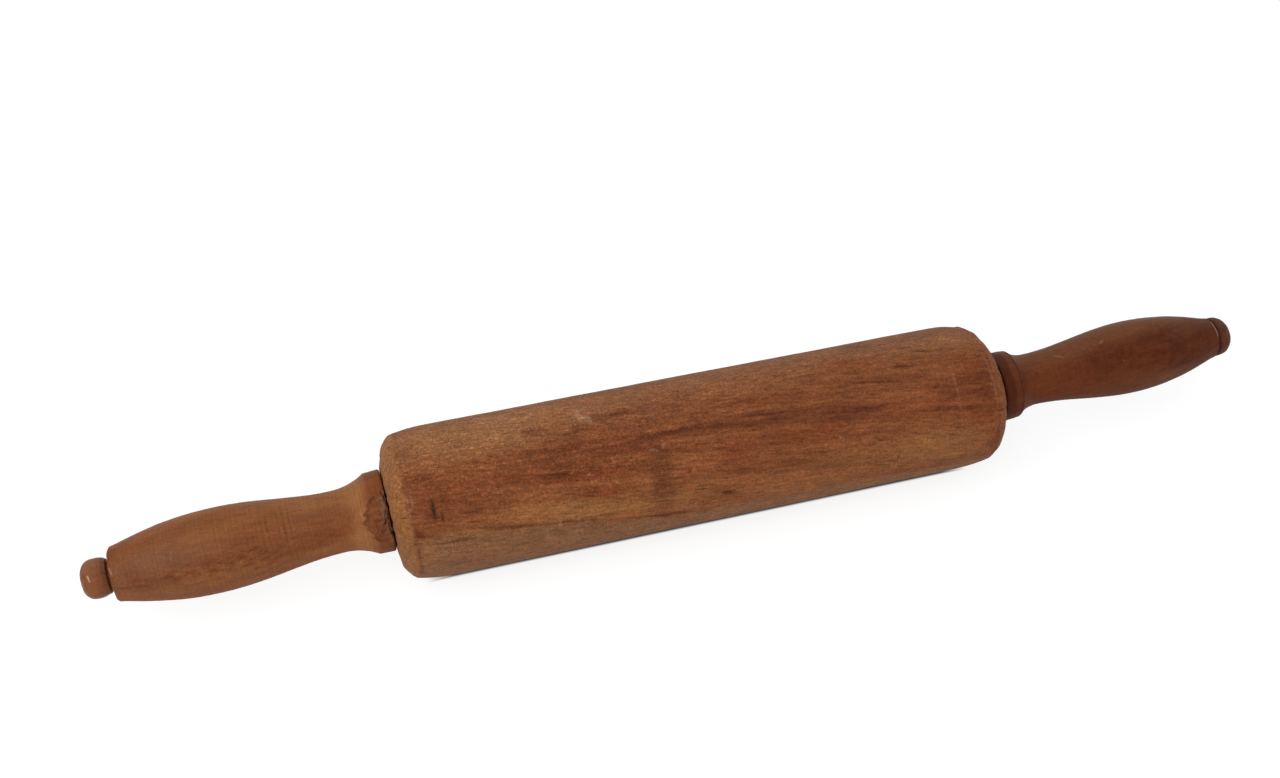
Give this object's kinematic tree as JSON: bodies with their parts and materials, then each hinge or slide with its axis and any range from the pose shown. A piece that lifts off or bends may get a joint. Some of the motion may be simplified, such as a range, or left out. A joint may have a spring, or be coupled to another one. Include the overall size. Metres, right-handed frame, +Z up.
{
  "type": "rolling pin",
  "caption": "Turned hardwood rolling pin: a solid barrel on wooden axle pins, with freely spinning shaped handles held on by turned knobs.",
  "frame": {"origin": "on the table under the middle of the barrel, at the centre of the base of the bounding box", "axes": "+X along the barrel and the axle pins towards the right handle, +Z up, +Y away from the person who looks at it as pictured"},
  "size_m": [0.4828, 0.06, 0.06],
  "materials": {
    "roller_wood": "bare hardwood, worn and stained, with dark grain checks",
    "left_handle_wood": "hand-polished satin, warm brown",
    "right_handle_wood": "hand-polished satin, darker reddish brown",
    "left_pin_wood": "turned satin knob on a plain wooden pin",
    "right_pin_wood": "turned satin knob on a plain wooden pin"
  },
  "bodies": {
    "barrel": {"roller": "roller_wood", "left_axle_pin": "left_pin_wood", "right_axle_pin": "right_pin_wood"},
    "left_grip": {"left_handle": "left_handle_wood"},
    "right_grip": {"right_handle": "right_handle_wood"}
  },
  "joints": [
    {"name": "left_handle_spin", "type": "hinge", "parent": "barrel", "child": "left_grip", "pos_m": [-0.125, 0, 0.03], "axis": [0.9994, 0.0247, 0.0247], "continuous": true},
    {"name": "right_handle_spin", "type": "hinge", "parent": "barrel", "child": "right_grip", "pos_m": [0.125, 0, 0.03], "axis": [0.9996, 0.0197, 0.0197], "continuous": true}
  ]
}
